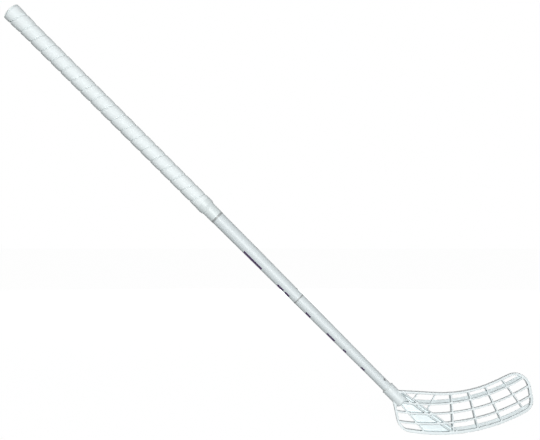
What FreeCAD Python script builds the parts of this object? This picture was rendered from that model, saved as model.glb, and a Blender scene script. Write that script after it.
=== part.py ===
"""Floorball stick: composite shaft, wound grip and a moulded lattice blade.

Millimetres. +Z is up, +X runs from the heel of the blade to its toe, and +Y is the side the toe hooks to.
The origin is the point where the line of the shaft meets the floor under the blade.
Heights along the shaft are measured from the origin, up the line of the shaft.
"""
import FreeCAD, Part
import math
import os

V = FreeCAD.Vector

# Stick: angle between the shaft and the floor in the playing position
lie_angle = 45.0

# Collar and spigot of the blade, along the line of the shaft
collar_rise = 6.37
collar_length = 38.0
collar_wall = 1.6
collar_lip_width = 3.0
collar_lip_rise = 0.5
collar_groove_depth = 0.8
collar_end_round = 2.5
collar_rim_round = 1.6
collar_root_margin = 3.2
socket_depth = 30.2
spigot_reach = 30.0
spigot_tip_chamfer = 1.5

# Shaft: straight foot, two tapers and the stretch under the grip
shaft_length = 960.0
shaft_wall = 1.6
foot_diameter = 18.2
foot_straight = 78.2
lower_taper_length = 275.0
lower_taper_diameter = 23.4
upper_taper_length = 110.0
upper_taper_diameter = 24.6
butt_diameter = 26.6

# Adhesive film round the foot of the shaft
glue_thickness = 0.4
glue_tip_margin = 3.0

# Blade screws, countersunk through the shaft into the spigot
screw_above_rim = 13.4
screw_count = 2
screw_azimuth_angle = -45.0
screw_head_diameter = 4.8
screw_head_depth = 1.1
screw_shank_diameter = 2.5
screw_length = 7.5
screw_recess_width = 0.7
screw_recess_span = 2.6
screw_recess_depth = 0.7

# Butt cap: skirt round the shaft, plug in its bore and a domed end with a flat crown
cap_end_wall = 4.5
cap_rim_drop = 0.4
cap_rim_height = 0.4
cap_crown_diameter = 10.0
cap_skirt_length = 42.0
cap_skirt_top_wall = 1.0
cap_skirt_foot_wall = 0.3
cap_plug_length = 28.0
cap_plug_wall = 2.0
cap_plug_clearance = 0.1
cap_skirt_clearance = 0.05

# Grip tape, wound left-handed from the butt down
tape_width = 24.1
tape_thickness = 2.0
tape_shoulder_drop = 0.6
tape_shoulder_width = 3.0
tape_shoulder_share = 0.3
tape_gap = 0.5
tape_seam_drop = 23.1
tape_seam_angle = -90.0
tape_steps_per_turn = 16
tape_first_width = 1.6
tape_clearance = 0.05
grip_length = 482.3

# Closing band over the end of the grip tape
band_thickness = 0.35
band_lap = 9.0
band_slope_length = 7.0
band_length = 25.5

# Trim rings
upper_ring_width = 4.0
lower_ring_width = 2.6
lower_ring_height = 335.5
ring_thickness = 0.3

# Blade outline: sole and top edge are arcs, each with its centre above its own lowest point
sole_lowest_x = 10.5
sole_radius = 333.6
top_lowest_x = 13.8
top_radius = 237.3
blade_height = 73.0
heel_slope_angle = 3.3
top_arc_end_angle = 23.5
top_toe_straight = 27.0
toe_top_radius = 28.0
toe_sole_radius = 23.4
toe_sole_angle = 27.3
heel_radius = 28.0
heel_angle = -9.2
heel_lean_angle = 12.0

# Blade lattice: rails share one centre, and ribs fan out from another
frame_width = 4.0
sole_rail_width = 5.0
rail_width = 3.0
rail_lowest_x = -8.0
top_rail_height = 54.6
top_rail_radius = 335.0
rail_pitch = 17.0
rail_count = 3
rail_first_angle = -13.0
rail_last_angle = 35.0
rib_width = 2.4
rib_centre_x = 18.5
rib_centre_height = 235.0
rib_first_angle = 3.6
rib_angle_pitch = 10.95
rib_count = 4
rib_lean_angle = 10.0
rib_inset = 0.3
toe_frame_start_x = 150.0
stay_width = 2.2
long_stay_top_x = 4.0
long_stay_lean_angle = 28.0
short_stay_top_x = -27.1
short_stay_lean_angle = 36.9
stay_thickness = 7.5
stay_inset = 1.0
least_cell_area = 20.0

# Braces from the collar to the sole, the thin web between them, and the sloping ledges above two rails
long_brace_angle = 35.4
long_brace_foot_x = 43.5
long_brace_spacing = 6.2
long_brace_flange = 2.0
short_brace_angle = 49.2
short_brace_foot_x = -13.3
short_brace_width = 2.2
web_thickness = 1.6
web_inset = 0.6
ledge_edge_thickness = 1.4
sole_ledge_height = 5.5
sole_ledge_slope_angle = 41.0
top_ledge_height = 5.0
top_ledge_slope_angle = 35.0

# Blade depth: hooked at the toe, cupped between sole and top rail
hook_depth = 16.0
hook_start_angle = -1.6
hook_end_angle = 31.4
cup_depth = 4.0
middle_depth = 8.5
edge_depth = 11.0
heel_depth_share = 1.6
toe_depth_share = 0.9

# Grid on which the two curved faces of the blade are drawn, and the stock they are cut from
grid_first_angle = -26.0
grid_last_angle = 38.0
grid_angle_count = 13
grid_margin = 25.0
grid_radius_count = 6
stock_reach = 60.0

AXIS = V(0, 0, 1)
ORIGIN = V(0, 0, 0)

# Corners of the tape's section, in order round it
INNER_LOW, INNER_HIGH, OUTER_HIGH, CROWN_HIGH, CROWN_LOW, OUTER_LOW = range(6)


def along(angle):
    """Direction that runs to the toe and climbs at an angle."""
    return V(math.cos(math.radians(angle)), 0, math.sin(math.radians(angle)))


def outward(angle):
    """Direction at an angle from straight down, turned to the toe."""
    return V(math.sin(math.radians(angle)), 0, -math.cos(math.radians(angle)))


def up_the_shaft():
    return V(-math.cos(math.radians(lie_angle)), 0, math.sin(math.radians(lie_angle)))


def to_shaft_line(point, direction):
    """Where a line in the blade's plane meets the line of the shaft."""
    square = V(math.sin(math.radians(lie_angle)), 0, math.cos(math.radians(lie_angle)))
    return point - direction * (point.dot(square) / direction.dot(square))


# Centres of the blade's arcs and ribs
sole_centre = V(sole_lowest_x, 0, sole_radius)
top_centre = V(top_lowest_x, 0, blade_height + top_radius)
rail_centre = V(rail_lowest_x, 0, top_rail_height + top_rail_radius)
rib_centre = V(rib_centre_x, 0, rib_centre_height)

# Stations along the shaft that several pieces share
top_arc_start = top_centre + outward(-heel_slope_angle) * top_radius
top_edge_height = to_shaft_line(top_arc_start, along(-heel_slope_angle)).Length
collar_rim_height = top_edge_height + collar_rise
collar_foot_height = collar_rim_height - collar_length
socket_floor = collar_rim_height - socket_depth
shaft_foot = socket_floor + glue_thickness
shaft_top = shaft_foot + shaft_length
foot_radius = foot_diameter / 2
bore_radius = foot_radius - shaft_wall
spigot_radius = bore_radius - glue_thickness
socket_radius = foot_radius + glue_thickness
collar_radius = socket_radius + collar_wall
spigot_top = collar_rim_height + spigot_reach
skirt_foot = shaft_top - cap_skirt_length
butt_height = shaft_top + cap_end_wall
cap_rim_top = shaft_top + cap_rim_height
screw_height = collar_rim_height + screw_above_rim
tape_pitch = tape_width + tape_gap
tape_seam_height = butt_height - tape_seam_drop
grip_foot_height = shaft_top - grip_length
band_foot_height = grip_foot_height - band_length
middle_radius = sole_radius - blade_height / 2

shaft_stations = [
    (shaft_foot, foot_radius),
    (shaft_foot + foot_straight, foot_radius),
    (shaft_foot + foot_straight + lower_taper_length, lower_taper_diameter / 2),
    (shaft_foot + foot_straight + lower_taper_length + upper_taper_length, upper_taper_diameter / 2),
    (shaft_top, butt_diameter / 2),
]


def along_stations(stations, height):
    """Radius at a height, straight between the stations and level beyond them."""
    if height <= stations[0][0]:
        return stations[0][1]
    for (low, low_radius), (high, high_radius) in zip(stations, stations[1:]):
        if height <= high:
            share = (height - low) / (high - low)
            return low_radius + share * (high_radius - low_radius)
    return stations[-1][1]


def shaft_radius(height):
    return along_stations(shaft_stations, height)


def skirt_radius(height):
    """Outside of the cap's skirt, thin at its foot."""
    share = (height - skirt_foot) / cap_skirt_length
    wall = cap_skirt_foot_wall + share * (cap_skirt_top_wall - cap_skirt_foot_wall)
    return shaft_radius(height) + cap_skirt_clearance + wall


def under_grip_radius(height):
    """What the grip tape lies on: the shaft, then the skirt of the cap."""
    if height < skirt_foot:
        return shaft_radius(height)
    return skirt_radius(height)


def turned(profile):
    """Solid of revolution about the shaft's line from (radius, height) corners."""
    corners = [V(radius, 0, height) for radius, height in profile]
    face = Part.Face(Part.makePolygon(corners + corners[:1]))
    return face.revolve(ORIGIN, AXIS, 360)


def on_stick(shape):
    """Leans a piece made upright to the lie of the shaft."""
    leaned = shape.copy()
    leaned.rotate(ORIGIN, V(0, 1, 0), lie_angle - 90)
    return leaned


def screw_blank():
    """Countersunk head and shank, pointing at the shaft's line along X."""
    top = V(foot_radius, 0, screw_height)
    inward = V(-1, 0, 0)
    head = Part.makeCone(screw_head_diameter / 2, screw_shank_diameter / 2, screw_head_depth, top, inward)
    shank = Part.makeCylinder(screw_shank_diameter / 2, screw_length, top, inward)
    return head.fuse(shank).removeSplitter()


def make_screw():
    """One screw with a cross recess."""
    screw = screw_blank()
    for width, span in ((screw_recess_width, screw_recess_span), (screw_recess_span, screw_recess_width)):
        corner = V(foot_radius - screw_recess_depth, -width / 2, screw_height - span / 2)
        screw = screw.cut(Part.makeBox(screw_recess_depth, width, span, corner))
    return screw


def make_screw_path():
    """Straight countersunk hole that a screw fills."""
    top = V(foot_radius, 0, screw_height)
    mouth = Part.makeCylinder(screw_head_diameter / 2, foot_radius, top, V(1, 0, 0))
    return mouth.fuse(screw_blank())


def round_the_shaft(shape):
    """Copies of a screw shape at even angles round the shaft."""
    copies = []
    for index in range(screw_count):
        copy = shape.copy()
        copy.rotate(ORIGIN, AXIS, screw_azimuth_angle + index * 360.0 / screw_count)
        copies.append(copy)
    return copies


def drilled(shape):
    return shape.cut(round_the_shaft(make_screw_path()))


def make_shaft_tube():
    outside = [(radius, height) for height, radius in shaft_stations]
    inside = [(radius - shaft_wall, height) for height, radius in reversed(shaft_stations)]
    return drilled(turned(outside + inside))


def make_butt_cap():
    """Skirt, domed end and hollow plug in one moulding."""
    plug_radius = butt_diameter / 2 - shaft_wall - cap_plug_clearance
    plug_foot = shaft_top - cap_plug_length
    plug_foot_radius = shaft_radius(plug_foot) - shaft_wall - cap_plug_clearance
    rim_radius = tape_inner_radius(shaft_top) + tape_thickness - cap_rim_drop
    crown_radius = cap_crown_diameter / 2
    body = turned([
        (plug_radius - cap_plug_wall, shaft_top),
        (plug_foot_radius - cap_plug_wall, plug_foot),
        (plug_foot_radius, plug_foot),
        (plug_radius, shaft_top),
        (shaft_radius(shaft_top) + cap_skirt_clearance, shaft_top),
        (shaft_radius(skirt_foot) + cap_skirt_clearance, skirt_foot),
        (skirt_radius(skirt_foot), skirt_foot),
        (skirt_radius(shaft_top), shaft_top),
        (rim_radius, shaft_top),
        (rim_radius, cap_rim_top),
        (crown_radius, cap_rim_top),
        (0, cap_rim_top),
        (0, shaft_top),
    ])
    rise = butt_height - cap_rim_top
    run = rim_radius - crown_radius
    dome_radius = (rise * rise + run * run) / (2 * rise)
    middle = math.atan2(run, dome_radius - rise) / 2
    dome_middle = V(crown_radius + dome_radius * math.sin(middle), 0,
                    butt_height - dome_radius + dome_radius * math.cos(middle))
    edges = [
        Part.makeLine(V(0, 0, cap_rim_top), V(rim_radius, 0, cap_rim_top)),
        Part.Arc(V(rim_radius, 0, cap_rim_top), dome_middle, V(crown_radius, 0, butt_height)).toShape(),
        Part.makeLine(V(crown_radius, 0, butt_height), V(0, 0, butt_height)),
        Part.makeLine(V(0, 0, butt_height), V(0, 0, cap_rim_top)),
    ]
    dome = Part.Face(Part.Wire(edges)).revolve(ORIGIN, AXIS, 360)
    return body.fuse(dome).removeSplitter()


def tape_inner_radius(height):
    """Flat facets of the tape stay clear of the round shaft under them."""
    facet = math.cos(math.pi / tape_steps_per_turn)
    return (under_grip_radius(height) + tape_clearance) / facet


def band_inner_radius(height):
    """Inside of the closing band, where it laps over the grip tape."""
    return shaft_radius(height) + tape_clearance + tape_thickness


def tape_section(turn_angle):
    """Corners (radius, height) of the tape at an angle, or nothing where the tape is cut away."""
    middle = tape_seam_height - tape_pitch / 2 - tape_pitch * (turn_angle - tape_seam_angle) / 360.0
    low = max(middle - tape_width / 2, grip_foot_height)
    high = min(middle + tape_width / 2, shaft_top)
    width = high - low
    if width < tape_first_width:
        return None
    shoulder = min(tape_shoulder_width, width * tape_shoulder_share)
    lap_top = grip_foot_height + band_lap
    places = {
        INNER_LOW: (low, tape_thickness),
        INNER_HIGH: (high, tape_thickness),
        OUTER_HIGH: (high, tape_shoulder_drop),
        CROWN_HIGH: (high - shoulder, 0),
        CROWN_LOW: (low + shoulder, 0),
        OUTER_LOW: (low, tape_shoulder_drop),
    }
    corners = []
    for corner in sorted(places):
        height, drop = places[corner]
        radius = tape_inner_radius(height) + tape_thickness - drop
        if height < lap_top:
            radius = min(radius, band_inner_radius(height))
        corners.append((radius, height))
    return corners


def tape_point(corner, turn_angle):
    radius, height = corner
    return V(radius * math.cos(math.radians(turn_angle)), radius * math.sin(math.radians(turn_angle)), height)


def make_grip_wrap():
    """One unbroken strip from the cap down to the closing band."""
    step = 360.0 / tape_steps_per_turn
    turns_above_seam = math.ceil((shaft_top - tape_seam_height) / tape_pitch) + 1
    turns_below_seam = math.ceil((tape_seam_height - grip_foot_height) / tape_pitch) + 1
    sections = []
    for index in range(-turns_above_seam * tape_steps_per_turn, turns_below_seam * tape_steps_per_turn):
        turn_angle = tape_seam_angle + index * step
        corners = tape_section(turn_angle)
        if corners:
            sections.append([tape_point(corner, turn_angle) for corner in corners])
    gaps = []
    for upper, lower in zip(sections, sections[tape_steps_per_turn:]):
        gaps.append(upper[INNER_LOW].distanceToPoint(lower[INNER_HIGH]))
        gaps.append(upper[OUTER_LOW].distanceToPoint(lower[OUTER_HIGH]))
    print("grip_wrap: turns %.2f, least gap to itself %.2f mm"
          % ((len(sections) - 1) / tape_steps_per_turn, min(gaps)))
    wires = [Part.makePolygon(points + points[:1]) for points in sections]
    return Part.makeLoft(wires, True, True)


def make_grip_finish_tape():
    """Closing band: laps over the end of the tape, slopes down and lies on the shaft."""
    lap_top = grip_foot_height + band_lap
    slope_foot = grip_foot_height - band_slope_length
    bends = [height for height, radius in shaft_stations if band_foot_height < height < slope_foot]
    on_shaft = [band_foot_height] + bends + [slope_foot]
    inside = [(shaft_radius(height) + tape_clearance, height) for height in on_shaft]
    inside += [
        (shaft_radius(grip_foot_height) + tape_clearance, grip_foot_height),
        (band_inner_radius(grip_foot_height), grip_foot_height),
        (band_inner_radius(lap_top), lap_top),
    ]
    outside = [
        (band_inner_radius(lap_top) + band_thickness, lap_top),
        (band_inner_radius(grip_foot_height) + band_thickness, grip_foot_height),
    ]
    outside += [(shaft_radius(height) + band_thickness, height) for height in reversed(on_shaft)]
    return turned(inside + outside)


def make_trim_ring(low, width):
    high = low + width
    return turned([
        (shaft_radius(low), low),
        (shaft_radius(low) + ring_thickness, low),
        (shaft_radius(high) + ring_thickness, high),
        (shaft_radius(high), high),
    ])


def make_hot_melt_sleeve():
    """Film outside, under and inside the foot of the shaft."""
    film_top = spigot_top - glue_tip_margin
    film = turned([
        (spigot_radius, socket_floor),
        (socket_radius, socket_floor),
        (socket_radius, collar_rim_height),
        (foot_radius, collar_rim_height),
        (foot_radius, shaft_foot),
        (bore_radius, shaft_foot),
        (bore_radius, film_top),
        (spigot_radius, film_top),
    ])
    return drilled(film)


def round_corner(centre, radius, start, end):
    """Arc about a centre between two directions, the short way."""
    middle = start + end
    middle.normalize()
    return Part.Arc(centre + start * radius, centre + middle * radius, centre + end * radius).toShape()


def arc_about(centre, radius, start, end):
    """Arc about a centre from one angle to another."""
    points = [centre + outward(angle) * radius for angle in (start, (start + end) / 2, end)]
    return Part.Arc(*points).toShape()


def blade_outline(inset):
    """Outline of the blade, drawn in evenly by an inset."""
    top_start = top_centre + outward(-heel_slope_angle) * (top_radius + inset)
    top_left = to_shaft_line(top_start, along(-heel_slope_angle))
    toe_line_start = top_centre + outward(top_arc_end_angle) * (top_radius + inset)
    toe_line_end = toe_line_start + along(top_arc_end_angle) * top_toe_straight
    toe_top_centre = toe_line_end + outward(top_arc_end_angle) * (toe_top_radius - inset)
    toe_sole_centre = sole_centre + outward(toe_sole_angle) * (sole_radius - toe_sole_radius)
    between = toe_sole_centre - toe_top_centre
    tilt = math.acos((toe_top_radius - toe_sole_radius) / between.Length)
    between.normalize()
    across = V(-between.z, 0, between.x)
    toe_normal = between * math.cos(tilt) + across * math.sin(tilt)
    heel_centre = sole_centre + outward(heel_angle) * (sole_radius - heel_radius)
    lean = math.radians(heel_lean_angle)
    heel_normal = V(-math.cos(lean), 0, -math.sin(lean))
    heel_side = heel_centre + heel_normal * (heel_radius - inset)
    heel_top = to_shaft_line(heel_side, V(-math.sin(lean), 0, math.cos(lean)))
    toe_high = toe_top_centre + toe_normal * (toe_top_radius - inset)
    toe_low = toe_sole_centre + toe_normal * (toe_sole_radius - inset)
    return Part.Face(Part.Wire([
        Part.makeLine(top_left, top_start),
        arc_about(top_centre, top_radius + inset, -heel_slope_angle, top_arc_end_angle),
        Part.makeLine(toe_line_start, toe_line_end),
        round_corner(toe_top_centre, toe_top_radius - inset, outward(top_arc_end_angle) * -1, toe_normal),
        Part.makeLine(toe_high, toe_low),
        round_corner(toe_sole_centre, toe_sole_radius - inset, toe_normal, outward(toe_sole_angle)),
        arc_about(sole_centre, sole_radius - inset, toe_sole_angle, heel_angle),
        round_corner(heel_centre, heel_radius - inset, outward(heel_angle), heel_normal),
        Part.makeLine(heel_side, heel_top),
        Part.makeLine(heel_top, top_left),
    ]))


def rail_face(centre, inner_radius, width):
    """Rail of even width, an arc from beyond the heel to beyond the toe."""
    outer_radius = inner_radius + width
    heel_side, toe_side = outward(rail_first_angle), outward(rail_last_angle)
    return Part.Face(Part.Wire([
        arc_about(centre, outer_radius, rail_first_angle, rail_last_angle),
        Part.makeLine(centre + toe_side * outer_radius, centre + toe_side * inner_radius),
        arc_about(centre, inner_radius, rail_last_angle, rail_first_angle),
        Part.makeLine(centre + heel_side * inner_radius, centre + heel_side * outer_radius),
    ]))


def strip_face(start, end, width):
    """Straight strip between two points."""
    run = end - start
    run.normalize()
    side = V(-run.z, 0, run.x) * (width / 2)
    corners = [start + side, end + side, end - side, start - side]
    return Part.Face(Part.makePolygon(corners + corners[:1]))


def brace_line(angle, foot_x, shift):
    """Ends of a line that climbs from the floor to half the collar's length, moved sideways by a shift."""
    turn = math.radians(angle)
    climb = V(-math.cos(turn), 0, math.sin(turn))
    side = V(math.sin(turn), 0, math.cos(turn)) * shift
    foot = V(foot_x, 0, 0) + side
    end_height = collar_rim_height - collar_length / 2
    length = (end_height - foot.dot(up_the_shaft())) / climb.dot(up_the_shaft())
    return foot, foot + climb * length


def stay_face(top_x, lean):
    """Stay that leans from the top edge down to the long brace's upper flange, seen from the side."""
    turn = math.radians(lean)
    top = V(top_x, 0, blade_height)
    down = V(-math.sin(turn), 0, -math.cos(turn))
    foot, end = brace_line(long_brace_angle, long_brace_foot_x, long_brace_spacing / 2)
    square = (end - foot).cross(V(0, 1, 0))
    meeting = top + down * ((foot - top).dot(square) / down.dot(square))
    stay = strip_face(top - down * frame_width, meeting, stay_width)
    return stay.common(blade_outline(frame_width / 2))


def collar_root_face():
    """Plate of the blade inside its collar, drawn in from the collar by a margin."""
    low = up_the_shaft() * (collar_foot_height + collar_end_round + collar_root_margin)
    high = up_the_shaft() * (collar_rim_height - collar_root_margin)
    return strip_face(low, high, 2 * (collar_radius - collar_root_margin))


def lattice_face():
    """Frame, rails and braces, seen from the side: the outline without its open cells."""
    pieces = [collar_root_face(), rail_face(sole_centre, sole_radius - sole_rail_width, sole_rail_width)]
    for index in range(rail_count):
        pieces.append(rail_face(rail_centre, top_rail_radius + index * rail_pitch, rail_width))
    for side in (-1, 1):
        foot, end = brace_line(long_brace_angle, long_brace_foot_x, side * long_brace_spacing / 2)
        pieces.append(strip_face(foot, end, long_brace_flange))
    foot, end = brace_line(short_brace_angle, short_brace_foot_x, 0)
    pieces.append(strip_face(foot, end, short_brace_width))
    cells = blade_outline(frame_width).cut(pieces).Faces
    return blade_outline(0).cut([cell for cell in cells if cell.Area > least_cell_area])


def rib_face(index):
    """Rib between the frame's top edge and the sole, seen from the side."""
    reach = outward(rib_first_angle + index * rib_angle_pitch) * rib_centre_height
    rib = strip_face(rib_centre + reach / 2, rib_centre + reach, rib_width)
    return rib.common(blade_outline(frame_width / 2))


def toe_frame_face():
    """Inner half of the frame round the toe, seen from the side."""
    frame = blade_outline(frame_width / 2).cut(blade_outline(frame_width))
    start = V(toe_frame_start_x, 0, 0)
    across, up = V(sole_radius, 0, 0), V(0, 0, sole_radius)
    corners = [start, start + across, start + across + up, start + up]
    return frame.common(Part.Face(Part.makePolygon(corners + corners[:1])))


def web_face():
    """Thin web between the two braces, seen from the side."""
    long_foot, long_end = brace_line(long_brace_angle, long_brace_foot_x, long_brace_spacing / 2)
    short_foot, short_end = brace_line(short_brace_angle, short_brace_foot_x, 0)
    corners = [short_foot, long_foot, long_end, short_end]
    return Part.Face(Part.makePolygon(corners + corners[:1])).common(blade_outline(frame_width / 2))


def ledge_face(centre, inner_radius, width):
    """Ledge along a rail, from the long brace to the toe, seen from the side."""
    shift = long_brace_spacing / 2 + long_brace_flange / 4
    foot, end = brace_line(long_brace_angle, long_brace_foot_x, shift)
    climb = end - foot
    reach = V(sole_radius, 0, 0)
    corners = [foot - climb, end + climb, end + climb + reach, foot - climb + reach]
    beyond_brace = Part.Face(Part.makePolygon(corners + corners[:1]))
    ledge = rail_face(centre, inner_radius, width).common(beyond_brace)
    return ledge.common(blade_outline(frame_width / 2))


def blade_depth_at(radius, angle, side):
    """Y of the blade's face: side -1 is the near face, +1 the far face and 0 the middle."""
    across = (radius - middle_radius) / (blade_height / 2)
    reach = max(0.0, (angle - hook_start_angle) / (hook_end_angle - hook_start_angle))
    run = (angle - grid_first_angle) / (grid_last_angle - grid_first_angle)
    middle = hook_depth * reach * reach + cup_depth * run * across * across
    depth = middle_depth + (edge_depth - middle_depth) * across * across
    share = heel_depth_share + (toe_depth_share - heel_depth_share) * run
    return middle + side * depth * share / 2


def blade_skin(side, shift, slope=0.0, centre=sole_centre, level_radius=0.0):
    """Curved sheet at one face of the blade, moved along Y by a shift, with a slope beyond an arc."""
    first_radius = sole_radius - blade_height - grid_margin
    last_radius = sole_radius + grid_margin
    grid = []
    for i in range(grid_angle_count):
        angle = grid_first_angle + (grid_last_angle - grid_first_angle) * i / (grid_angle_count - 1)
        row = []
        for j in range(grid_radius_count):
            radius = first_radius + (last_radius - first_radius) * j / (grid_radius_count - 1)
            place = sole_centre + outward(angle) * radius
            nearer = slope * (place.distanceToPoint(centre) - level_radius)
            row.append(place + V(0, blade_depth_at(radius, angle, side) + shift - nearer, 0))
        grid.append(row)
    sheet = Part.BSplineSurface()
    sheet.interpolate(grid)
    return sheet.toShape()


def between_skins(face, near_skin, far_skin, lean_angle=0.0, pivot=0.0):
    """Stock of a side-view face, leaning to the heel beyond a pivot's Y, cut to lie between two sheets."""
    lean = math.tan(math.radians(lean_angle))
    depth = V(-lean, 1, 0) * stock_reach
    stock = face.extrude(depth * 2)
    stock.translate(V(lean * pivot, 0, 0) - depth)
    stock = stock.cut(near_skin.extrude(V(0, -2 * stock_reach, 0)))
    return stock.cut(far_skin.extrude(V(0, 2 * stock_reach, 0)))


def make_collar():
    """Round collar with a rounded end, and a lip with a rounded shoulder above a shallow groove."""
    lip_radius = collar_radius + collar_lip_rise
    lip_foot = collar_rim_height - collar_lip_width
    groove_height = lip_foot - collar_groove_depth
    end_centre = V(collar_radius - collar_end_round, 0, collar_foot_height + collar_end_round)
    shoulder_centre = V(lip_radius - collar_rim_round, 0, collar_rim_height - collar_rim_round)
    shoulder_angle = math.degrees(math.acos(1 - collar_lip_rise / collar_rim_round))
    end_round = round_corner(end_centre, collar_end_round, V(0, 0, -1), V(1, 0, 0))
    shoulder = round_corner(shoulder_centre, collar_rim_round, V(1, 0, 0), along(shoulder_angle))
    side = [
        end_centre + V(collar_end_round, 0, 0),
        V(collar_radius, 0, groove_height - collar_groove_depth),
        V(collar_radius - collar_groove_depth, 0, groove_height),
        V(lip_radius, 0, lip_foot + collar_lip_rise),
        shoulder_centre + V(collar_rim_round, 0, 0),
    ]
    mouth = [
        shoulder_centre + along(shoulder_angle) * collar_rim_round,
        V(collar_radius, 0, collar_rim_height),
        V(0, 0, collar_rim_height),
        V(0, 0, collar_foot_height),
        end_centre - V(0, 0, collar_end_round),
    ]
    edges = Part.makePolygon(side).Edges + [shoulder] + Part.makePolygon(mouth).Edges + [end_round]
    return Part.Face(Part.Wire(edges)).revolve(ORIGIN, AXIS, 360)


def make_spigot():
    tip = spigot_top - spigot_tip_chamfer
    return turned([
        (0, socket_floor),
        (spigot_radius, socket_floor),
        (spigot_radius, tip),
        (spigot_radius - spigot_tip_chamfer, spigot_top),
        (0, spigot_top),
    ])


def make_ledge(centre, rail_radius, width, height, slope_angle):
    """Ledge that slopes up and away from the top of a rail, and has its foot inside the rail."""
    edge_radius = rail_radius - height
    slope = math.tan(math.radians(slope_angle))
    near_skin = blade_skin(1, -web_inset - ledge_edge_thickness, slope, centre, edge_radius)
    face = ledge_face(centre, edge_radius, height + width / 2)
    return between_skins(face, near_skin, blade_skin(1, -web_inset))


def make_blade():
    """Lattice, ribs, stays, web, ledges, collar and spigot in one moulding."""
    lattice = between_skins(lattice_face(), blade_skin(-1, 0), blade_skin(1, 0))
    rib_skins = blade_skin(-1, rib_inset), blade_skin(1, -rib_inset)
    toe_depth = blade_depth_at(middle_radius, toe_sole_angle, -1)
    stays = [
        stay_face(long_stay_top_x, long_stay_lean_angle),
        stay_face(short_stay_top_x, short_stay_lean_angle),
    ]
    stay_skins = blade_skin(1, -stay_inset - stay_thickness), blade_skin(1, -stay_inset)
    web_skins = blade_skin(1, -web_inset - web_thickness), blade_skin(1, -web_inset)
    sole_rail_radius = sole_radius - sole_rail_width
    parts = [between_skins(rib_face(index), *rib_skins, rib_lean_angle) for index in range(rib_count)]
    parts += [between_skins(face, *stay_skins) for face in stays]
    parts += [
        between_skins(toe_frame_face(), *rib_skins, rib_lean_angle, toe_depth),
        between_skins(web_face(), *web_skins),
        make_ledge(sole_centre, sole_rail_radius, sole_rail_width, sole_ledge_height, sole_ledge_slope_angle),
        make_ledge(rail_centre, top_rail_radius, rail_width, top_ledge_height, top_ledge_slope_angle),
        on_stick(make_collar()),
    ]
    body = lattice.fuse(parts)
    socket = Part.makeCylinder(socket_radius, socket_depth + stock_reach, V(0, 0, socket_floor))
    body = body.cut(on_stick(socket))
    return body.fuse(on_stick(drilled(make_spigot()))).removeSplitter()


upper_ring_foot = band_foot_height - upper_ring_width

nodes = {
    "shaft_tube": on_stick(make_shaft_tube()),
    "butt_cap": on_stick(make_butt_cap()),
    "grip_wrap": on_stick(make_grip_wrap()),
    "grip_finish_tape": on_stick(make_grip_finish_tape()),
    "upper_trim_ring": on_stick(make_trim_ring(upper_ring_foot, upper_ring_width)),
    "lower_trim_ring": on_stick(make_trim_ring(lower_ring_height - lower_ring_width / 2, lower_ring_width)),
    "blade": make_blade(),
    "blade_screws": on_stick(Part.makeCompound(round_the_shaft(make_screw()))),
    "hot_melt_sleeve": on_stick(make_hot_melt_sleeve()),
}

os.makedirs("parts", exist_ok=True)
for name, shape in nodes.items():
    print("%-18s solids %d, valid %s, volume %.0f mm3, faces %d"
          % (name, len(shape.Solids), shape.isValid(), shape.Volume, len(shape.Faces)))
    shape.exportStep("parts/%s.step" % name)
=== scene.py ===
import math

import bmesh
import bpy
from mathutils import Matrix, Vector


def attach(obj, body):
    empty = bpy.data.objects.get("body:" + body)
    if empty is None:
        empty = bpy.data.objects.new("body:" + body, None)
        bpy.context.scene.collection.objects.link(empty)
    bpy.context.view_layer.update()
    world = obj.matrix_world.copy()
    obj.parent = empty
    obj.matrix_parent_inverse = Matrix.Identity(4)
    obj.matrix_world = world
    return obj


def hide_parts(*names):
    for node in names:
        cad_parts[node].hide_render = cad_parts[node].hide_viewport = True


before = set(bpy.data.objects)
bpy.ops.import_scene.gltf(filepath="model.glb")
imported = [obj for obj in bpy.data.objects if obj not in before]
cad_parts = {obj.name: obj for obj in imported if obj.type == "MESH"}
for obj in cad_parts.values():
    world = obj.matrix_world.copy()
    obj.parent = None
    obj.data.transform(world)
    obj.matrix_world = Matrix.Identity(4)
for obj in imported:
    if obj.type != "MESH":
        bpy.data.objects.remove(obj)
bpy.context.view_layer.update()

# Floorball stick in its playing position. Sizes are in millimetres and turned to metres where they are used.
MM = 0.001
LIE = math.radians(45.0)
UP_SHAFT = Vector((-math.cos(LIE), 0.0, math.sin(LIE)))
ACROSS = Vector((math.sin(LIE), 0.0, math.cos(LIE)))
AWAY = Vector((0.0, 1.0, 0.0))

# Shaft, from its foot in the blade's collar to the butt, and the cap on it
SHAFT_LENGTH = 960.0
SOCKET_DEPTH = 30.2
GLUE_THICKNESS = 0.4
STRAIGHT_FOOT = 78.2
LOWER_TAPER = 275.0
UPPER_TAPER = 110.0
TAPER_END_RADIUS = 12.3
BUTT_RADIUS = 13.3
CAP_END_WALL = 4.5
SKIRT_LENGTH = 42.0
SKIRT_FOOT_STEP = 0.35
SKIRT_TOP_STEP = 1.05

# Grip tape: how it is cut and wound. Its first seam on the camera's side lies a drop below the butt
GRIP_LENGTH = 482.3
TAPE_WIDTH = 24.5
TAPE_PITCH = 24.6
TAPE_THICKNESS = 2.0
TAPE_CLEARANCE = 0.05
LEAST_TAPE_WIDTH = 1.6
SEAM_DROP = 23.1
SEAM_AZIMUTH = -90.0

# How finely the tape is drawn: steps round each turn, and steps across its width
TAPE_STEPS = 72
TAPE_CROSS_STEPS = 18

# Closing band: how far it laps over the tape, and the tape's thickness that stays clear under it
BAND_LAP = 9.0
BAND_CLEAR_THICKNESS = 1.95

# Skin of the tape: shares of its width that slope to its edges, how far they drop, and how they bend
LOWER_SLOPE = 0.45
LOWER_DROP = 0.85
LOWER_BEND = 2.2
UPPER_SLOPE = 0.1
UPPER_DROP = 1.6
UPPER_BEND = 1.3
EDGE_BEVEL = 0.06
EDGE_DROP = 1.0

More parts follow.
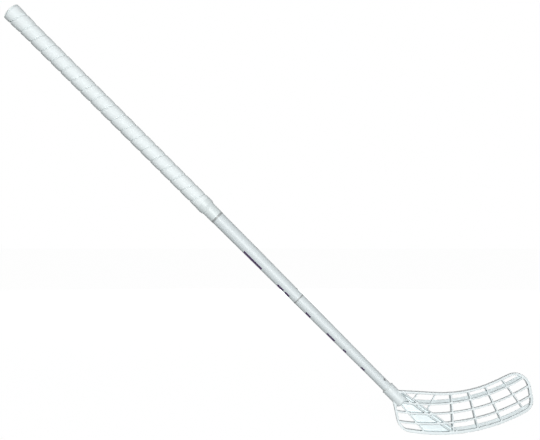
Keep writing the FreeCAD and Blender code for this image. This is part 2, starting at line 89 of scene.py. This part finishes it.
# Printed bars: the stretch they lie in, where each starts and ends, and how far round the shaft they begin
PRINT_START = 160.0
PRINT_END = 470.0
BARS = ((165, 174), (210, 218), (238, 258), (298, 310), (350, 360), (364, 378), (417, 461))
PRINT_AZIMUTH = 130.0

# Skin of the blade: how near its points are joined, how finely it is drawn, and how far its edges are rounded
WELD_DISTANCE = 0.001
BLADE_SKIN = 0.6
ROUNDING_PASSES = 5
ROUNDING_SHARE = 0.5

# Heights along the shaft, from the point where its line meets the floor
COLLAR_RIM = 116.527
SHAFT_FOOT = COLLAR_RIM - SOCKET_DEPTH + GLUE_THICKNESS
SHAFT_TOP = SHAFT_FOOT + SHAFT_LENGTH
TAPER_END = SHAFT_FOOT + STRAIGHT_FOOT + LOWER_TAPER + UPPER_TAPER
SKIRT_FOOT = SHAFT_TOP - SKIRT_LENGTH
GRIP_FOOT = SHAFT_TOP - GRIP_LENGTH
BUTT = SHAFT_TOP + CAP_END_WALL
SEAM_HEIGHT = BUTT - SEAM_DROP

# Studio, in metres: the camera's frame, the floor and the lamps
FRAME_CENTRE = Vector((-0.2873, 0.0, 0.3751))
FRAME_WIDTH = 0.945
CAMERA_DISTANCE = 2.3
FLOOR_HALF_WIDTH = 15.0
LAMP_DISTANCE = 4.8
FRONT_LAMP_SHIFT = 0.58
TOP_LAMP_HEIGHT = 4.0
CAP_LAMP_DISTANCE = 0.1

# White of the studio: how bright the floor glows to the camera, its share there, and the light all round
WHITE = (1.0, 1.0, 1.0, 1.0)
FLOOR_GLOW = 1.16
FLOOR_GLOW_SHARE = 0.85
LIGHT_ALL_ROUND = 0.03


def stick_point(radius, azimuth, height):
    """Point round the shaft: azimuth 0 is towards the toe, 90 degrees is away from the camera."""
    turn = math.radians(azimuth)
    place = UP_SHAFT * height + ACROSS * (radius * math.cos(turn)) + AWAY * (radius * math.sin(turn))
    return place * MM


def new_piece(name, mesh, node, material):
    """Puts a mesh in the scene in place of a node, smooth shaded."""
    piece = bpy.data.objects.new(name, mesh)
    bpy.context.scene.collection.objects.link(piece)
    mesh.materials.clear()
    mesh.materials.append(material)
    for polygon in mesh.polygons:
        polygon.use_smooth = True
    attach(piece, "root")
    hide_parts(node)


# Materials

def linear(hex_colour):
    """sRGB hex colour as linear red, green, blue and alpha."""
    channels = [int(hex_colour[i:i + 2], 16) / 255.0 for i in (1, 3, 5)]
    return tuple(c / 12.92 if c <= 0.04045 else ((c + 0.055) / 1.055) ** 2.4 for c in channels) + (1.0,)


def per_metre(size_mm):
    """Texture scale whose spots are about a size in millimetres."""
    return 1.0 / (size_mm * MM)


def add(tree, kind, inputs=None, **settings):
    """Adds a node with its settings. An input is a value, or the output that feeds it."""
    node = tree.nodes.new(kind)
    for name, value in settings.items():
        setattr(node, name, value)
    for name, value in (inputs or {}).items():
        if isinstance(value, bpy.types.NodeSocket):
            tree.links.new(value, node.inputs[name])
        else:
            node.inputs[name].default_value = value
    return node


def start_material(name):
    """Empty material, its nodes, and the place on the object that its patterns are laid out by."""
    material = bpy.data.materials.new(name)
    material.use_nodes = True
    tree = material.node_tree
    tree.nodes.clear()
    place = add(tree, "ShaderNodeTexCoord").outputs["Object"]
    return material, tree, place


def printed_bars(tree, place):
    """1 on the printed bars and 0 beside them, by height along the shaft and angle round it."""
    height = add(tree, "ShaderNodeVectorMath", {0: place, 1: UP_SHAFT}, operation="DOT_PRODUCT")
    across = add(tree, "ShaderNodeVectorMath", {0: place, 1: ACROSS}, operation="DOT_PRODUCT")
    depth = add(tree, "ShaderNodeVectorMath", {0: place, 1: AWAY}, operation="DOT_PRODUCT")
    azimuth = add(tree, "ShaderNodeMath", {0: depth.outputs["Value"], 1: across.outputs["Value"]},
                  operation="ARCTAN2")
    turned = add(tree, "ShaderNodeMath", {0: azimuth.outputs["Value"]}, operation="ABSOLUTE")
    side = add(tree, "ShaderNodeMath", {0: turned.outputs["Value"], 1: math.radians(PRINT_AZIMUTH)},
               operation="GREATER_THAN")
    along = add(tree, "ShaderNodeMapRange",
                {"Value": height.outputs["Value"], "From Min": PRINT_START * MM, "From Max": PRINT_END * MM})
    bars = add(tree, "ShaderNodeValToRGB", {"Fac": along.outputs["Result"]})
    ramp = bars.color_ramp
    ramp.interpolation = "CONSTANT"
    stops = [(PRINT_START, 0.0)]
    for low, high in BARS:
        stops += [(low, 1.0), (high, 0.0)]
    while len(ramp.elements) < len(stops):
        ramp.elements.new(1.0)
    for element, (start, cover) in zip(ramp.elements, stops):
        element.position = (start - PRINT_START) / (PRINT_END - PRINT_START)
        element.color = (cover, cover, cover, 1.0)
    printed = add(tree, "ShaderNodeMath", {0: side.outputs["Value"], 1: bars.outputs["Color"]},
                  operation="MULTIPLY")
    return printed.outputs["Value"]


def white_lacquer():
    # Clear lacquer sprayed over a white painted composite tube: a soft gloss with a faint orange peel.
    # Plain violet bars are printed along the side that faces away from the toe.
    material, tree, place = start_material("white_lacquer")
    spray = add(tree, "ShaderNodeTexNoise", {"Vector": place, "Scale": per_metre(40.0), "Detail": 2.0})
    white = add(tree, "ShaderNodeMix",
                {"Factor": spray.outputs["Fac"], "A": linear("#D4DCDE"), "B": linear("#DAE2E4")},
                data_type="RGBA")
    colour = add(tree, "ShaderNodeMix",
                 {"Factor": printed_bars(tree, place), "A": white.outputs["Result"], "B": linear("#3A1E52")},
                 data_type="RGBA")
    # real orange peel is about 1 mm, and is drawn coarser to show
    peel = add(tree, "ShaderNodeTexNoise", {"Vector": place, "Scale": per_metre(3.0), "Detail": 1.0})
    gloss = add(tree, "ShaderNodeMapRange", {"Value": peel.outputs["Fac"], "To Min": 0.45, "To Max": 0.55})
    ripple = add(tree, "ShaderNodeBump", {"Height": peel.outputs["Fac"], "Distance": 0.004 * MM})
    surface = add(tree, "ShaderNodeBsdfPrincipled",
                  {"Base Color": colour.outputs["Result"], "Roughness": gloss.outputs["Result"],
                   "Normal": ripple.outputs["Normal"], "IOR": 1.5, "Specular IOR Level": 0.4,
                   "Coat Weight": 0.05, "Coat Roughness": 0.3})
    add(tree, "ShaderNodeOutputMaterial", {"Surface": surface.outputs["BSDF"]})
    return material


def grip_polyurethane():
    # Soft polyurethane tape with a tacky skin: matte white, with fine pores that break up the light.
    material, tree, place = start_material("grip_polyurethane")
    # real pores are about 0.3 mm, and are drawn coarser to show
    pores = add(tree, "ShaderNodeTexNoise", {"Vector": place, "Scale": per_metre(0.9), "Detail": 2.0})
    touch = add(tree, "ShaderNodeTexNoise", {"Vector": place, "Scale": per_metre(35.0), "Detail": 3.0})
    colour = add(tree, "ShaderNodeMix",
                 {"Factor": touch.outputs["Fac"], "A": linear("#EDF4F5"), "B": linear("#E6EDEE")},
                 data_type="RGBA")
    matte = add(tree, "ShaderNodeMapRange", {"Value": pores.outputs["Fac"], "To Min": 0.5, "To Max": 0.7})
    pitted = add(tree, "ShaderNodeBump", {"Height": pores.outputs["Fac"], "Distance": 0.03 * MM})
    surface = add(tree, "ShaderNodeBsdfPrincipled",
                  {"Base Color": colour.outputs["Result"], "Roughness": matte.outputs["Result"],
                   "Normal": pitted.outputs["Normal"], "IOR": 1.45, "Specular IOR Level": 0.3})
    add(tree, "ShaderNodeOutputMaterial", {"Surface": surface.outputs["BSDF"]})
    return material


def stretched_vinyl():
    # Stretched PVC closing tape: thin and satin, with fine lines round the shaft from the stretch.
    material, tree, place = start_material("stretched_vinyl")
    height = add(tree, "ShaderNodeVectorMath", {0: place, 1: UP_SHAFT}, operation="DOT_PRODUCT")
    # real lines are about 0.2 mm apart, and are drawn coarser to show
    lines = add(tree, "ShaderNodeTexNoise",
                {"W": height.outputs["Value"], "Scale": per_metre(1.2), "Detail": 2.0},
                noise_dimensions="1D")
    colour = add(tree, "ShaderNodeMix",
                 {"Factor": lines.outputs["Fac"], "A": linear("#D6DEDF"), "B": linear("#DEE6E6")},
                 data_type="RGBA")
    satin = add(tree, "ShaderNodeMapRange", {"Value": lines.outputs["Fac"], "To Min": 0.4, "To Max": 0.55})
    ridged = add(tree, "ShaderNodeBump", {"Height": lines.outputs["Fac"], "Distance": 0.015 * MM})
    surface = add(tree, "ShaderNodeBsdfPrincipled",
                  {"Base Color": colour.outputs["Result"], "Roughness": satin.outputs["Result"],
                   "Normal": ridged.outputs["Normal"], "IOR": 1.53})
    add(tree, "ShaderNodeOutputMaterial", {"Surface": surface.outputs["BSDF"]})
    return material


def moulded_rubber():
    # Moulded thermoplastic rubber: matte, with the fine grain of a spark-eroded mould.
    material, tree, place = start_material("moulded_rubber")
    # real mould grain is about 0.1 mm, and is drawn coarser to show
    spark = add(tree, "ShaderNodeTexNoise", {"Vector": place, "Scale": per_metre(0.6), "Detail": 2.0})
    colour = add(tree, "ShaderNodeMix",
                 {"Factor": spark.outputs["Fac"], "A": linear("#E8EFEF"), "B": linear("#F0F6F6")},
                 data_type="RGBA")
    matte = add(tree, "ShaderNodeMapRange", {"Value": spark.outputs["Fac"], "To Min": 0.55, "To Max": 0.75})
    grained = add(tree, "ShaderNodeBump", {"Height": spark.outputs["Fac"], "Distance": 0.03 * MM})
    surface = add(tree, "ShaderNodeBsdfPrincipled",
                  {"Base Color": colour.outputs["Result"], "Roughness": matte.outputs["Result"],
                   "Normal": grained.outputs["Normal"], "IOR": 1.5})
    add(tree, "ShaderNodeOutputMaterial", {"Surface": surface.outputs["BSDF"]})
    return material


def silver_ink():
    # Printed silver ink: mid grey, with flakes that differ a little in shade.
    material, tree, place = start_material("silver_ink")
    # real flakes are a few hundredths of a millimetre, and are drawn coarser to show
    flakes = add(tree, "ShaderNodeTexVoronoi", {"Vector": place, "Scale": per_metre(0.5)})
    shade = add(tree, "ShaderNodeSeparateColor", {"Color": flakes.outputs["Color"]})
    colour = add(tree, "ShaderNodeMix",
                 {"Factor": shade.outputs["Red"], "A": linear("#969B9C"), "B": linear("#ABB0B0")},
                 data_type="RGBA")
    satin = add(tree, "ShaderNodeMapRange", {"Value": shade.outputs["Red"], "To Min": 0.35, "To Max": 0.5})
    surface = add(tree, "ShaderNodeBsdfPrincipled",
                  {"Base Color": colour.outputs["Result"], "Roughness": satin.outputs["Result"], "IOR": 1.5})
    add(tree, "ShaderNodeOutputMaterial", {"Surface": surface.outputs["BSDF"]})
    return material


def polyethylene():
    # Injection moulded polyethylene: milky white with a waxy satin skin and faint flow marks.
    material, tree, place = start_material("polyethylene")
    flow = add(tree, "ShaderNodeTexNoise", {"Vector": place, "Scale": per_metre(14.0), "Detail": 3.0})
    # real mould texture is about 0.2 mm, and is drawn coarser to show
    skin = add(tree, "ShaderNodeTexNoise", {"Vector": place, "Scale": per_metre(1.0), "Detail": 2.0})
    colour = add(tree, "ShaderNodeMix",
                 {"Factor": flow.outputs["Fac"], "A": linear("#DAE2E4"), "B": linear("#E1E9EA")},
                 data_type="RGBA")
    waxy = add(tree, "ShaderNodeMapRange", {"Value": skin.outputs["Fac"], "To Min": 0.35, "To Max": 0.5})
    textured = add(tree, "ShaderNodeBump", {"Height": skin.outputs["Fac"], "Distance": 0.012 * MM})
    surface = add(tree, "ShaderNodeBsdfPrincipled",
                  {"Base Color": colour.outputs["Result"], "Roughness": waxy.outputs["Result"],
                   "Normal": textured.outputs["Normal"], "IOR": 1.52, "Specular IOR Level": 0.4})
    add(tree, "ShaderNodeOutputMaterial", {"Surface": surface.outputs["BSDF"]})
    return material


def phosphated_steel():
    # Zinc phosphate on turned steel: a dull mid grey, paler where it is rubbed.
    material, tree, place = start_material("phosphated_steel")
    rubbed = add(tree, "ShaderNodeTexNoise", {"Vector": place, "Scale": per_metre(0.6), "Detail": 3.0})
    colour = add(tree, "ShaderNodeMix",
                 {"Factor": rubbed.outputs["Fac"], "A": linear("#84868A"), "B": linear("#9A9CA0")},
                 data_type="RGBA")
    worn = add(tree, "ShaderNodeMapRange", {"Value": rubbed.outputs["Fac"], "To Min": 0.4, "To Max": 0.6})
    surface = add(tree, "ShaderNodeBsdfPrincipled",
                  {"Base Color": colour.outputs["Result"], "Roughness": worn.outputs["Result"],
                   "Metallic": 0.8})
    add(tree, "ShaderNodeOutputMaterial", {"Surface": surface.outputs["BSDF"]})
    return material


def hot_melt():
    # Set hot melt glue: milky and waxy, seen only as a hairline at the collar's rim.
    material, tree, place = start_material("hot_melt")
    streaks = add(tree, "ShaderNodeTexNoise", {"Vector": place, "Scale": per_metre(4.0), "Detail": 3.0})
    colour = add(tree, "ShaderNodeMix",
                 {"Factor": streaks.outputs["Fac"], "A": linear("#D9D6C8"), "B": linear("#E4E2D8")},
                 data_type="RGBA")
    waxy = add(tree, "ShaderNodeMapRange", {"Value": streaks.outputs["Fac"], "To Min": 0.4, "To Max": 0.55})
    surface = add(tree, "ShaderNodeBsdfPrincipled",
                  {"Base Color": colour.outputs["Result"], "Roughness": waxy.outputs["Result"], "IOR": 1.48})
    add(tree, "ShaderNodeOutputMaterial", {"Surface": surface.outputs["BSDF"]})
    return material


ink = silver_ink()
node_materials = {
    "shaft_tube": white_lacquer(),
    "butt_cap": moulded_rubber(),
    "grip_finish_tape": stretched_vinyl(),
    "upper_trim_ring": ink,
    "lower_trim_ring": ink,
    "blade_screws": phosphated_steel(),
    "hot_melt_sleeve": hot_melt(),
}
for node, material in node_materials.items():
    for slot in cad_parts[node].material_slots:
        slot.material = material


# Blade: its edges are rounded as a mould rounds them

def rounded_blade():
    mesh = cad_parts["blade"].data.copy()
    shape = bmesh.new()
    shape.from_mesh(mesh)
    bmesh.ops.remove_doubles(shape, verts=shape.verts, dist=WELD_DISTANCE * MM)
    shape.to_mesh(mesh)
    shape.free()
    blank = bpy.data.objects.new("blade_blank", mesh)
    bpy.context.scene.collection.objects.link(blank)
    skin = blank.modifiers.new("even_skin", "REMESH")
    skin.mode = "VOXEL"
    skin.voxel_size = BLADE_SKIN * MM
    rounding = blank.modifiers.new("rounded_edges", "SMOOTH")
    rounding.iterations = ROUNDING_PASSES
    rounding.factor = ROUNDING_SHARE
    ready = blank.evaluated_get(bpy.context.evaluated_depsgraph_get())
    rounded = bpy.data.meshes.new_from_object(ready)
    bpy.data.objects.remove(blank)
    new_piece("moulded_blade", rounded, "blade", polyethylene())


# Grip: one strip of tape, wound from the cap down, each turn standing a little proud of the one above

def between(height, low, low_value, high, high_value):
    """Value at a height, on the straight line through a low and a high place."""
    return low_value + (high_value - low_value) * (height - low) / (high - low)


def under_tape(height):
    """Radius that the tape lies on: the tapered shaft, and near the butt the skirt of the cap."""
    radius = between(height, TAPER_END, TAPER_END_RADIUS, SHAFT_TOP, BUTT_RADIUS)
    if height > SKIRT_FOOT:
        radius += between(height, SKIRT_FOOT, SKIRT_FOOT_STEP, SHAFT_TOP, SKIRT_TOP_STEP)
    return radius + TAPE_CLEARANCE


def tape_drop(share):
    """How far the skin lies below its crown, from the lower edge, 0, to the upper edge, 1."""
    lower = max(0.0, (LOWER_SLOPE - share) / LOWER_SLOPE)
    upper = max(0.0, (share - (1.0 - UPPER_SLOPE)) / UPPER_SLOPE)
    edge = max(0.0, (EDGE_BEVEL - share) / EDGE_BEVEL)
    return LOWER_DROP * lower ** LOWER_BEND + UPPER_DROP * upper ** UPPER_BEND + EDGE_DROP * edge


def tape_section(azimuth):
    """Radius and height round the tape's section at an azimuth. Past the tape's cut ends there is none."""
    middle = SEAM_HEIGHT - TAPE_PITCH / 2 - TAPE_PITCH * (azimuth - SEAM_AZIMUTH) / 360.0
    low = max(middle - TAPE_WIDTH / 2, GRIP_FOOT)
    high = min(middle + TAPE_WIDTH / 2, SHAFT_TOP)
    if high - low < LEAST_TAPE_WIDTH:
        return []
    corners = [(under_tape(high), high), (under_tape(low), low)]
    for index in range(TAPE_CROSS_STEPS + 1):
        share = 0.5 - 0.5 * math.cos(math.pi * index / TAPE_CROSS_STEPS)
        height = low + (high - low) * share
        thickness = TAPE_THICKNESS - tape_drop(share)
        if height < GRIP_FOOT + BAND_LAP:
            thickness = min(thickness, BAND_CLEAR_THICKNESS)
        corners.append((under_tape(height) + thickness, height))
    return corners


def wound_grip():
    turns_above = math.ceil((SHAFT_TOP - SEAM_HEIGHT) / TAPE_PITCH) + 1
    turns_below = math.ceil((SEAM_HEIGHT - GRIP_FOOT) / TAPE_PITCH) + 1
    shape = bmesh.new()
    rings = []
    for index in range(-turns_above * TAPE_STEPS, turns_below * TAPE_STEPS):
        azimuth = SEAM_AZIMUTH + index * 360.0 / TAPE_STEPS
        points = [stick_point(radius, azimuth, height) for radius, height in tape_section(azimuth)]
        if points:
            rings.append([shape.verts.new(point) for point in points])
    for ring, following in zip(rings, rings[1:]):
        for index in range(len(ring)):
            shape.faces.new((ring[index - 1], following[index - 1], following[index], ring[index]))
    shape.faces.new(rings[0])
    shape.faces.new(rings[-1])
    bmesh.ops.recalc_face_normals(shape, faces=shape.faces)
    mesh = bpy.data.meshes.new("wound_grip")
    shape.to_mesh(mesh)
    shape.free()
    new_piece("wound_grip", mesh, "grip_wrap", grip_polyurethane())


rounded_blade()
wound_grip()


# Studio: pale floor, white surroundings, and soft light from the front, above and behind and on the cap

def seen_as_white(tree):
    """1 for what is seen straight, in a reflection or through glass, and 0 for light on the object."""
    path = add(tree, "ShaderNodeLightPath")
    seen = path.outputs["Is Camera Ray"]
    for ray in ("Is Glossy Ray", "Is Transmission Ray"):
        either = add(tree, "ShaderNodeMath", {0: seen, 1: path.outputs[ray]}, operation="MAXIMUM")
        seen = either.outputs["Value"]
    return seen


def studio_paper():
    # Pale seamless paper: diffuse, and white to the camera apart from the object's shadow.
    material, tree, place = start_material("studio_paper")
    fibres = add(tree, "ShaderNodeTexNoise", {"Vector": place, "Scale": per_metre(6.0)})
    tone = add(tree, "ShaderNodeMix",
               {"Factor": fibres.outputs["Fac"], "A": linear("#8A9090"), "B": linear("#8E9494")},
               data_type="RGBA")
    paper = add(tree, "ShaderNodeBsdfDiffuse", {"Color": tone.outputs["Result"]})
    glow = add(tree, "ShaderNodeEmission", {"Color": WHITE, "Strength": FLOOR_GLOW})
    # the rest of the share is left to the paper, which shows the shadow
    share = add(tree, "ShaderNodeMath", {0: seen_as_white(tree), 1: FLOOR_GLOW_SHARE}, operation="MULTIPLY")
    mixed = add(tree, "ShaderNodeMixShader",
                {0: share.outputs["Value"], 1: paper.outputs["BSDF"], 2: glow.outputs["Emission"]})
    add(tree, "ShaderNodeOutputMaterial", {"Surface": mixed.outputs["Shader"]})
    return material


def white_surroundings():
    # White to the camera and in reflections, and only a faint light on the object.
    world = bpy.data.worlds.new("white_surroundings")
    world.use_nodes = True
    tree = world.node_tree
    tree.nodes.clear()
    light = add(tree, "ShaderNodeBackground", {"Color": linear("#F6FBFC"), "Strength": LIGHT_ALL_ROUND})
    white = add(tree, "ShaderNodeBackground", {"Color": WHITE, "Strength": 1.0})
    mixed = add(tree, "ShaderNodeMixShader",
                {0: seen_as_white(tree), 1: light.outputs["Background"], 2: white.outputs["Background"]})
    add(tree, "ShaderNodeOutputWorld", {"Surface": mixed.outputs["Shader"]})
    return world


def studio_floor():
    half = FLOOR_HALF_WIDTH
    corners = [(-half, -half, 0), (half, -half, 0), (half, half, 0), (-half, half, 0)]
    mesh = bpy.data.meshes.new("studio_floor")
    mesh.from_pydata(corners, [], [(0, 1, 2, 3)])
    mesh.materials.append(studio_paper())
    floor = bpy.data.objects.new("studio_floor", mesh)
    bpy.context.scene.collection.objects.link(floor)


def soft_box(name, place, width, watts, glossy=False):
    """Square lamp that faces the middle of the frame, hidden from the camera. A glossy one shows in gloss."""
    lamp = bpy.data.lights.new(name, "AREA")
    lamp.size = width
    lamp.energy = watts
    box = bpy.data.objects.new(name, lamp)
    box.location = place
    box.visible_camera = False
    box.visible_glossy = glossy
    box.rotation_euler = (FRAME_CENTRE - box.location).to_track_quat("-Z", "Y").to_euler()
    bpy.context.scene.collection.objects.link(box)


def photo_camera():
    """Level camera square to the stick, whose lens takes in the frame's width."""
    lens = bpy.data.cameras.new("camera")
    lens.lens = lens.sensor_width * CAMERA_DISTANCE / FRAME_WIDTH
    camera = bpy.data.objects.new("camera", lens)
    camera.location = FRAME_CENTRE - AWAY * CAMERA_DISTANCE
    camera.rotation_euler = (math.radians(90.0), 0.0, 0.0)
    bpy.context.scene.collection.objects.link(camera)
    bpy.context.scene.camera = camera


studio_floor()
bpy.context.scene.world = white_surroundings()
front = FRAME_CENTRE + ACROSS * FRONT_LAMP_SHIFT - AWAY * LAMP_DISTANCE
above = FRAME_CENTRE + Vector((0.0, 0.0, TOP_LAMP_HEIGHT))
behind = FRAME_CENTRE + AWAY * LAMP_DISTANCE
past_the_cap = UP_SHAFT * (BUTT * MM + CAP_LAMP_DISTANCE)
soft_box("front_box", front, width=1.2, watts=230.0, glossy=True)
soft_box("top_box", above, width=1.6, watts=12.0)
soft_box("back_box", behind, width=1.0, watts=225.0)
soft_box("cap_box", past_the_cap, width=0.03, watts=0.045)
photo_camera()
bpy.context.scene.view_settings.view_transform = "Standard"
